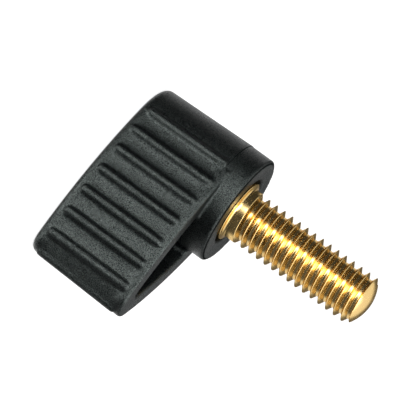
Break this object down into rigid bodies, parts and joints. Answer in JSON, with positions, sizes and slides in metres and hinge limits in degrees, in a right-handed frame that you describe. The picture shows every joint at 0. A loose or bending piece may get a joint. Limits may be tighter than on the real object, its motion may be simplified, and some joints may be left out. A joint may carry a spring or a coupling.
{
  "type": "locking lever",
  "caption": "Small black moulded lever knob with raised grip beads, on a brass stud with an M6 thread, turned by hand to clamp.",
  "frame": {"origin": "centre of the hub on the flat outer face", "axes": "+Z along the stud towards its free end, +X along the centre line of the lever to its tip"},
  "size_m": [0.0247, 0.0134, 0.031],
  "materials": {
    "plastic": "black moulded thermoplastic with a fine spark-eroded grain",
    "brass": "plain turned brass with a rolled M6 thread"
  },
  "bodies": {
    "root": {"lever_body": "plastic", "threaded_stud": "brass"}
  },
  "joints": []
}
